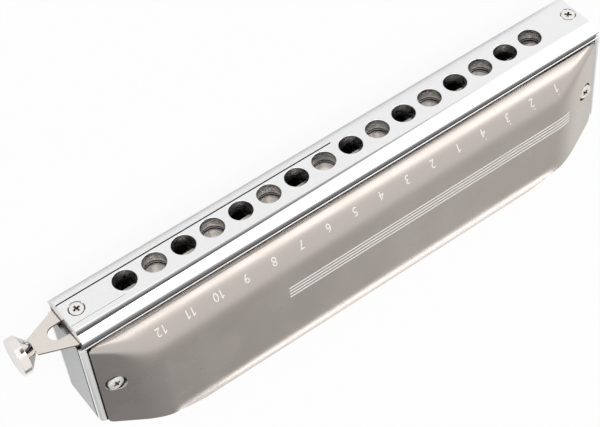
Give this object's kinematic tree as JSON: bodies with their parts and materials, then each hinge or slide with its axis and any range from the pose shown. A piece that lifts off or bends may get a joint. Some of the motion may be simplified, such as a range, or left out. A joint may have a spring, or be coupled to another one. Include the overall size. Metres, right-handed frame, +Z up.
{
  "type": "chromatic harmonica",
  "caption": "Chromatic harmonica: chromed mouthpiece, metal comb, stamped satin covers, and a spring-returned slide with a round push button.",
  "frame": {"origin": "centre of the bottom cover's flat resting face", "axes": "+X along the body towards the push button, +Y from the mouthpiece back, +Z up through the top cover"},
  "size_m": [0.1941, 0.051, 0.0285],
  "materials": {
    "chrome": "mirror chrome plate",
    "satin_cover": "satin warm grey plated sheet",
    "comb_metal": "smooth grey anodised",
    "plate_metal": "bright plated sheet",
    "reed_metal": "fine filed",
    "valve_film": "translucent film",
    "nickel": "warm nickel plate",
    "screw_steel": "nickel plated",
    "spring_steel": "drawn wire",
    "stop_rubber": "matte"
  },
  "bodies": {
    "root": {"bottom_cover": "satin_cover", "bottom_cover_screw_left": "screw_steel", "bottom_cover_screw_right": "screw_steel", "comb": "comb_metal", "lower_blow_reeds": "reed_metal", "lower_draw_reeds": "reed_metal", "lower_plate_screw_1": "screw_steel", "lower_plate_screw_2": "screw_steel", "lower_plate_screw_3": "screw_steel", "lower_reed_plate": "plate_metal", "lower_valves": "valve_film", "mouthpiece": "chrome", "mouthpiece_screw_left": "screw_steel", "mouthpiece_screw_right": "screw_steel", "slide_back_plate": "plate_metal", "slide_front_plate": "plate_metal", "slide_spring": "spring_steel", "slide_stop_sleeve": "stop_rubber", "spring_post_sleeve": "stop_rubber", "top_cover": "satin_cover", "top_cover_screw_left": "screw_steel", "top_cover_screw_right": "screw_steel", "upper_blow_reeds": "reed_metal", "upper_draw_reeds": "reed_metal", "upper_plate_screw_1": "screw_steel", "upper_plate_screw_2": "screw_steel", "upper_plate_screw_3": "screw_steel", "upper_reed_plate": "plate_metal", "upper_valves": "valve_film"},
    "slide": {"slide": "nickel", "button": "nickel", "button_rivet": "screw_steel"}
  },
  "joints": [
    {"name": "slide_push", "type": "slide", "parent": "root", "child": "slide", "axis": [-1, 0, 0], "range_m": [0, 0.00465], "stiffness_N_per_m": 260, "springref_m": -0.003, "deforming": ["slide_spring"]}
  ]
}
